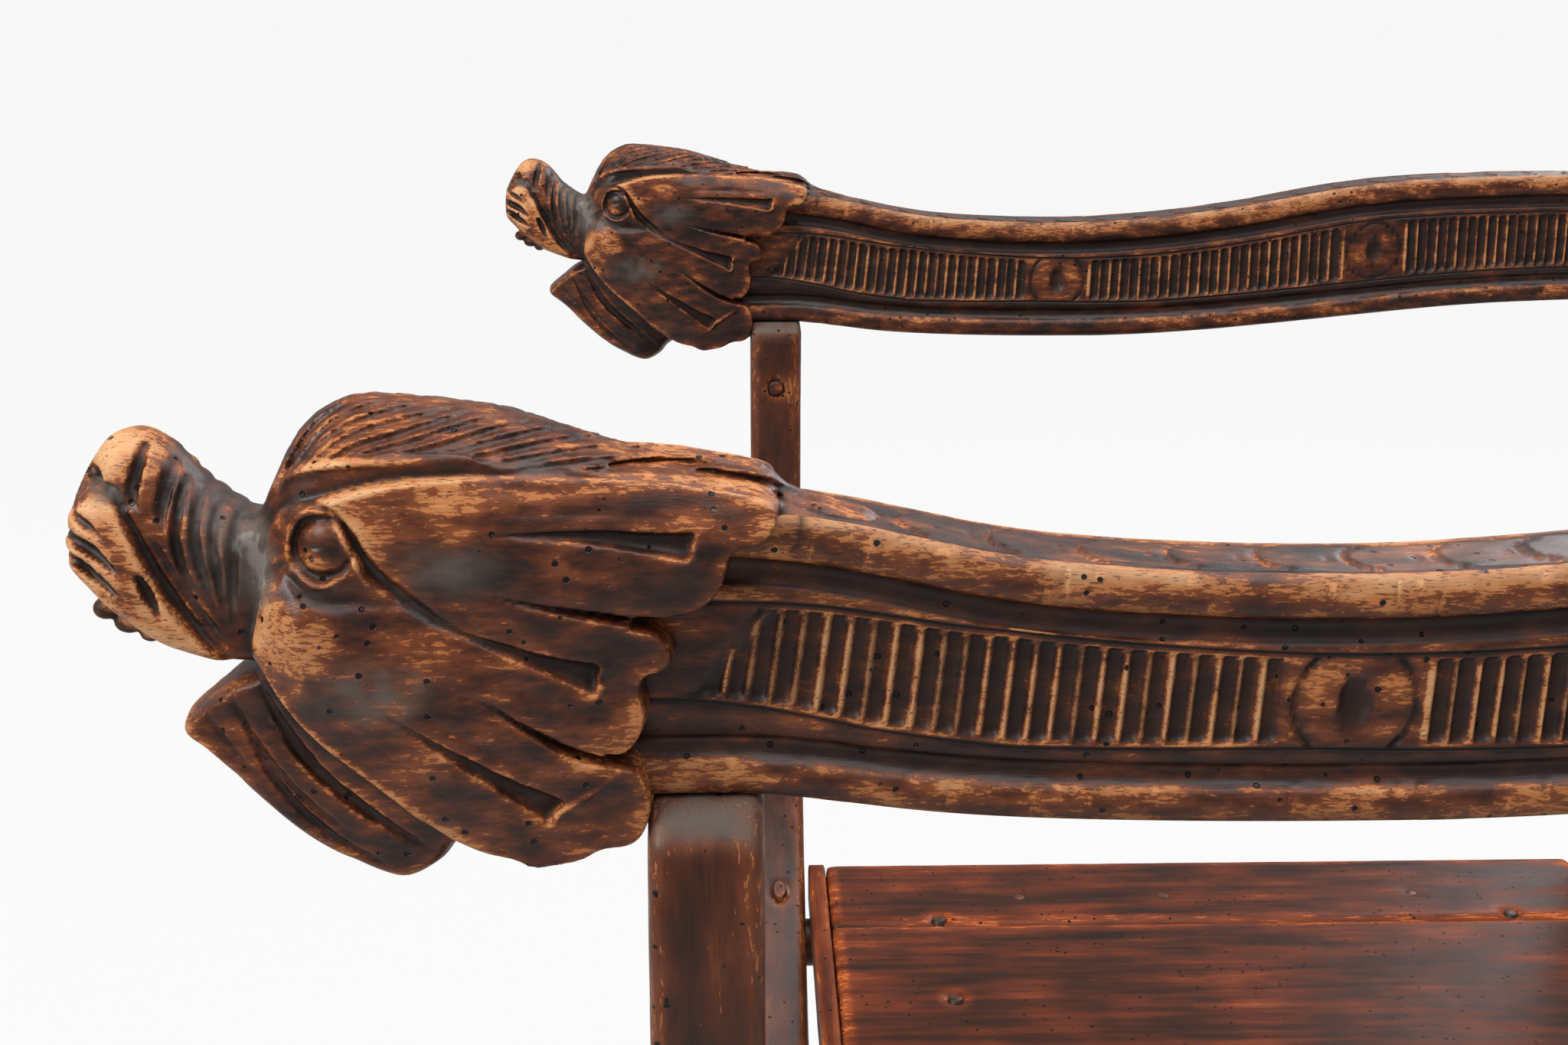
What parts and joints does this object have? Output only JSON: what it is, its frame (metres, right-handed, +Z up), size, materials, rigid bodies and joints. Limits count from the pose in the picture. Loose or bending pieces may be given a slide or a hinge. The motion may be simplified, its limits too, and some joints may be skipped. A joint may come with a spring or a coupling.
{
  "type": "savonarola chair",
  "caption": "Folding X-frame armchair in dark carved wood, with S-curved crossing slats, beast-head arms, a board seat and a shaped back board.",
  "frame": {"origin": "on the floor under the middle of the chair's bounding box", "axes": "+X to the right arm as seen from the front, -Y the front that the beast heads face, +Z up"},
  "size_m": [0.6398, 0.7096, 0.888],
  "materials": {
    "carved_walnut": "old dark waxed walnut, worn to pale tan on the carving",
    "walnut": "old dark waxed walnut with worn arrises",
    "seat_walnut": "worn brown walnut boards, lighter at their edges",
    "peg_wood": "lighter wood pegs, pins and tongues"
  },
  "bodies": {
    "left_half": {"left_arm": "carved_walnut", "left_front_slat": "walnut", "left_rear_slat": "walnut", "right_runner": "walnut", "right_runner_pegs": "peg_wood", "left_seat_rod": "walnut", "left_rod_pins": "peg_wood", "left_arm_tongues": "peg_wood", "left_tongue_pegs": "peg_wood", "pivot_rod": "walnut", "pivot_slat_pins": "peg_wood", "front_pivot_boss": "walnut", "rear_pivot_boss": "walnut", "pivot_boss_pins": "peg_wood", "left_back_peg": "walnut"},
    "right_half": {"right_arm": "carved_walnut", "right_front_slat": "walnut", "right_rear_slat": "walnut", "left_runner": "walnut", "left_runner_pegs": "peg_wood", "right_seat_rod": "walnut", "right_rod_pins": "peg_wood", "right_arm_tongues": "peg_wood", "right_tongue_pegs": "peg_wood", "right_back_peg": "walnut"},
    "seat": {"seat_left_board": "seat_walnut", "seat_middle_board": "seat_walnut", "seat_right_board": "seat_walnut", "seat_front_nosing": "seat_walnut", "seat_rear_nosing": "seat_walnut", "seat_hinge_cleats": "seat_walnut", "seat_stop_cleats": "seat_walnut", "seat_battens": "seat_walnut", "seat_pegs": "peg_wood", "seat_nosing_pegs": "peg_wood"},
    "back": {"back_board": "walnut"}
  },
  "joints": [
    {"name": "fold", "type": "hinge", "parent": "left_half", "child": "right_half", "pos_m": [0, 0, 0.279], "axis": [0, -1, 0], "range_deg": [0, 54]},
    {"name": "seat_tilt", "type": "hinge", "parent": "left_half", "child": "seat", "pos_m": [-0.19, 0, 0.37718], "axis": [0, -1, 0], "range_deg": [0, 27]},
    {"name": "back_tilt", "type": "hinge", "parent": "left_half", "child": "back", "pos_m": [-0.291, 0.31925, 0.72], "axis": [0, -1, 0], "range_deg": [0, 27]}
  ],
  "couplings": [
    {"joint": "seat_tilt", "follows": "fold", "ratio": 0.5},
    {"joint": "back_tilt", "follows": "fold", "ratio": 0.5}
  ]
}
